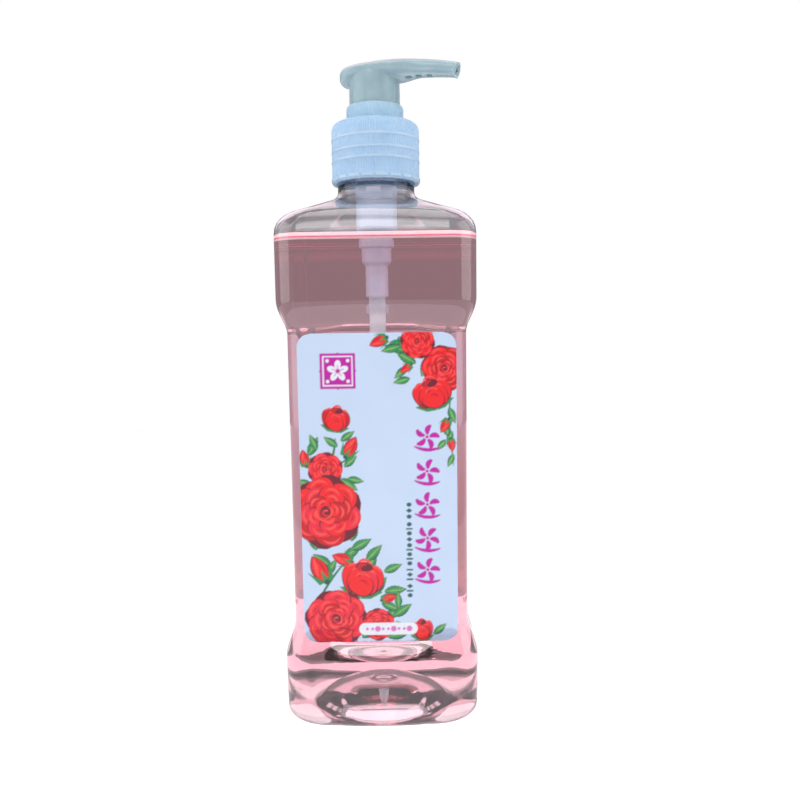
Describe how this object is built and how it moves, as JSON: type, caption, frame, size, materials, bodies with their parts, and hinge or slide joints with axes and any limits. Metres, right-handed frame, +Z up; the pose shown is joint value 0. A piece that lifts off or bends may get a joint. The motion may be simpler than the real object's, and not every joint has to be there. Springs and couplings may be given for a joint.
{
  "type": "pump oil bottle",
  "caption": "Square clear bottle of pink massage oil with a waisted label panel, two labels and a screw-on lotion pump with a long spout.",
  "frame": {"origin": "middle of the base, on the surface that it stands on", "axes": "+Z up along the neck, -Y towards the front label, +X to the right as the front is seen"},
  "size_m": [0.0684, 0.0684, 0.2354],
  "materials": {
    "clear_plastic": "clear blow-moulded PET, glossy",
    "pink_oil": "transparent pink oil",
    "label_film": "satin white film with printed roses",
    "cap_plastic": "frosted translucent blue polypropylene, fine ribs",
    "collar_plastic": "frosted translucent blue polypropylene",
    "head_plastic": "frosted grey-green polypropylene",
    "milky_plastic": "milky polypropylene and polyethylene",
    "seal_rubber": "soft white seal",
    "steel": "stainless steel"
  },
  "bodies": {
    "bottle": {"bottle": "clear_plastic", "oil": "pink_oil", "front_label": "label_film", "back_label": "label_film"},
    "pump": {"pump_housing": "milky_plastic", "neck_gasket": "seal_rubber", "lock_collar": "collar_plastic", "dip_tube": "milky_plastic", "ball_retainer": "milky_plastic", "return_spring": "steel"},
    "closure": {"closure": "cap_plastic"},
    "inlet_ball": {"inlet_ball": "steel"},
    "plunger": {"piston_seat": "milky_plastic", "piston_seal": "seal_rubber"},
    "head": {"actuator_head": "head_plastic", "pump_stem": "milky_plastic"},
    "outlet_ball": {"outlet_ball": "steel"}
  },
  "joints": [
    {"name": "pump_rise", "type": "slide", "parent": "bottle", "child": "pump", "axis": [0, 0, 1], "range_m": [0, 0.00634]},
    {"name": "closure_turn", "type": "hinge", "parent": "pump", "child": "closure", "pos_m": [0, 0, 0.2], "axis": [0, 0, 1], "range_deg": [0, 540]},
    {"name": "plunger_stroke", "type": "slide", "parent": "pump", "child": "plunger", "axis": [0, 0, 1], "range_m": [0, 0.016], "deforming": ["return_spring"]},
    {"name": "head_turn", "type": "hinge", "parent": "plunger", "child": "head", "pos_m": [0, 0, 0.22], "axis": [0, 0, 1], "continuous": true},
    {"name": "inlet_ball_lift", "type": "slide", "parent": "pump", "child": "inlet_ball", "axis": [0, 0, 1], "range_m": [0, 0.001]},
    {"name": "outlet_ball_lift", "type": "slide", "parent": "head", "child": "outlet_ball", "axis": [0, 0, 1], "range_m": [0, 0.0015]}
  ],
  "couplings": [
    {"joint": "closure_turn", "follows": "pump_rise", "rad_per_m": 1484.2}
  ]
}
